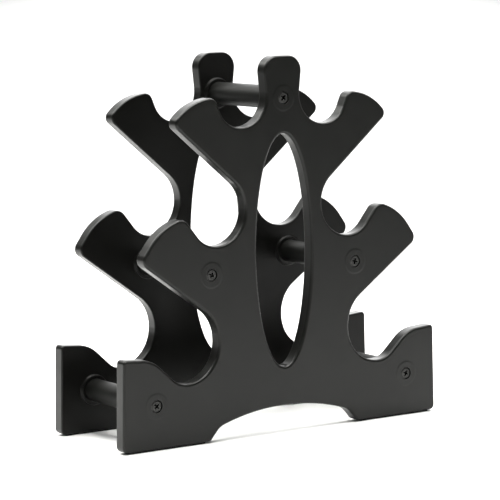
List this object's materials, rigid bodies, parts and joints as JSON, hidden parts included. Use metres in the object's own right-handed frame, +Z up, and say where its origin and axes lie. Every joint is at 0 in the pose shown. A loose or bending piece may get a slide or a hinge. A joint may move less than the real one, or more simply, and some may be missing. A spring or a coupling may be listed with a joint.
{
  "type": "dumbbell rack",
  "caption": "Small dumbbell rack: tree-shaped plastic side panels with tiered notches for the handles, joined by round cross bars.",
  "frame": {"origin": "centre of the footprint, on the floor under the foot pads", "axes": "+X along the width of a side panel, +Y from the front panel to the rear panel, +Z up"},
  "size_m": [0.3498, 0.12, 0.3445],
  "materials": {
    "panel_plastic": "fine satin grain",
    "bar_coating": "satin black powder coat",
    "plug_plastic": "plain moulded",
    "screw_steel": "black oxide",
    "pad_rubber": "matte"
  },
  "bodies": {
    "root": {"side_panel_front": "panel_plastic", "side_panel_rear": "panel_plastic", "cross_bar_top": "bar_coating", "cross_bar_mid_left": "bar_coating", "cross_bar_mid_right": "bar_coating", "cross_bar_low_left": "bar_coating", "cross_bar_low_right": "bar_coating", "end_plug_top_front": "plug_plastic", "end_plug_top_rear": "plug_plastic", "end_plug_mid_left_front": "plug_plastic", "end_plug_mid_left_rear": "plug_plastic", "end_plug_mid_right_front": "plug_plastic", "end_plug_mid_right_rear": "plug_plastic", "end_plug_low_left_front": "plug_plastic", "end_plug_low_left_rear": "plug_plastic", "end_plug_low_right_front": "plug_plastic", "end_plug_low_right_rear": "plug_plastic", "screws_front": "screw_steel", "screws_rear": "screw_steel", "foot_pad_front_left": "pad_rubber", "foot_pad_front_right": "pad_rubber", "foot_pad_rear_left": "pad_rubber", "foot_pad_rear_right": "pad_rubber"}
  },
  "joints": []
}
